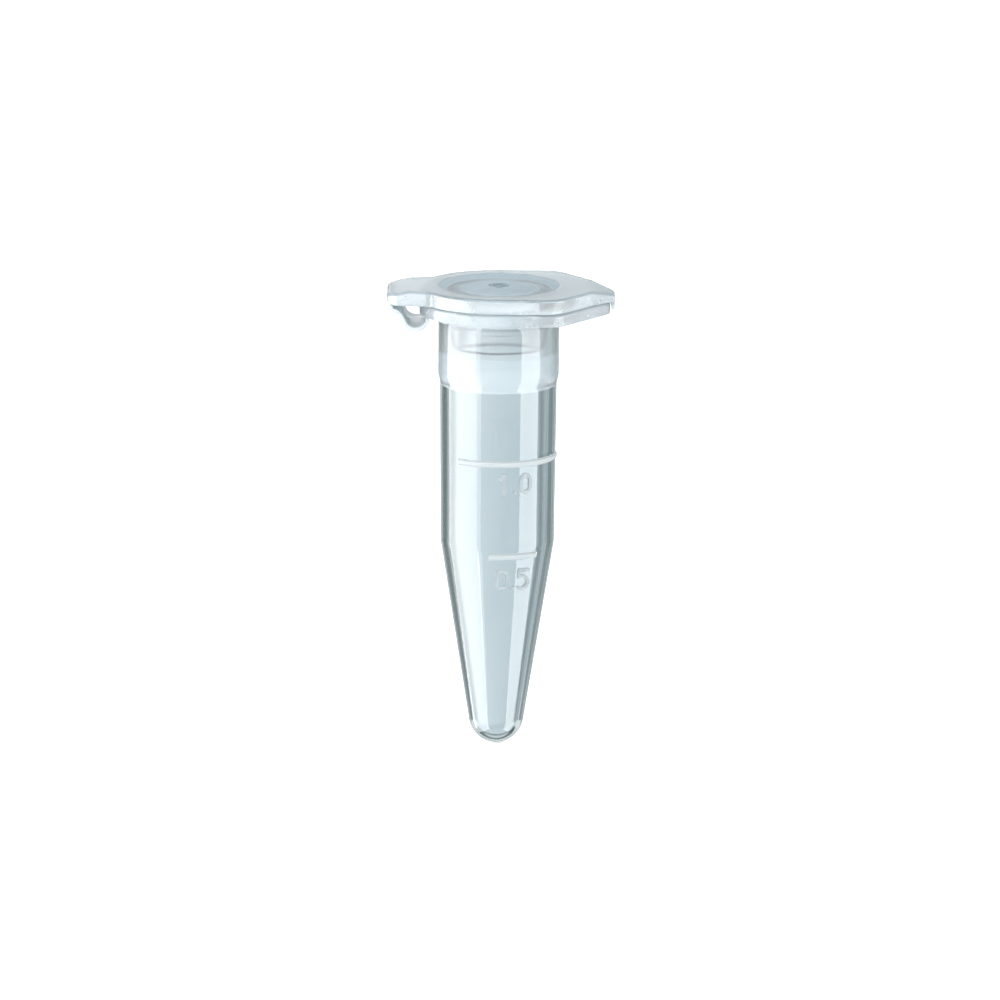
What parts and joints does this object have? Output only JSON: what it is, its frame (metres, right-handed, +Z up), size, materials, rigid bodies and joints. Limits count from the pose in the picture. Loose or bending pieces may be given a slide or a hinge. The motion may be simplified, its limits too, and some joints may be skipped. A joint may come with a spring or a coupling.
{
  "type": "microcentrifuge tube",
  "caption": "Small clear conical-bottom tube with a rim, a raised volume scale, and an attached snap lid on a living hinge that swings open.",
  "frame": {"origin": "on the tube's axis, at the seat plane: the underside of the rim, which rests on a rack or rotor", "axes": "+Z up out of the mouth along the tube's axis, hinge at -X, thumb tab at +X, volume scale faces -Y"},
  "size_m": [0.0204, 0.0142, 0.0418],
  "materials": {
    "clear_polypropylene": "clear, slightly blue-grey, glossy",
    "frosted_mark": "clear plastic with a fine frosted face"
  },
  "bodies": {
    "tube": {"tube_tip": "clear_polypropylene", "tube_cone": "clear_polypropylene", "tube_barrel": "clear_polypropylene", "sealing_collar": "clear_polypropylene", "rim_flange": "clear_polypropylene", "hinge_root": "clear_polypropylene", "root_fold": "clear_polypropylene", "scale_line_0_5": "frosted_mark", "scale_line_1_0": "frosted_mark", "scale_digits_0_5": "frosted_mark", "scale_digits_1_0": "frosted_mark"},
    "strap": {"hinge_strap": "clear_polypropylene"},
    "lid": {"lid_fold": "clear_polypropylene", "lid_hinge_leaf": "clear_polypropylene", "lid_plate": "clear_polypropylene", "thumb_tab": "clear_polypropylene", "thumb_lip": "clear_polypropylene", "sealing_plug": "clear_polypropylene", "plug_bead": "clear_polypropylene"}
  },
  "joints": [
    {"name": "root_bend", "type": "hinge", "parent": "tube", "child": "strap", "pos_m": [-0.00636, 0, -0.00034], "axis": [0, -1, 0], "range_deg": [0, 30]},
    {"name": "lid_bend", "type": "hinge", "parent": "strap", "child": "lid", "pos_m": [-0.00955, 0, 0.00085], "axis": [0, -1, 0], "range_deg": [0, 150]}
  ],
  "couplings": [
    {"joint": "root_bend", "follows": "lid_bend", "ratio": 0.2}
  ]
}
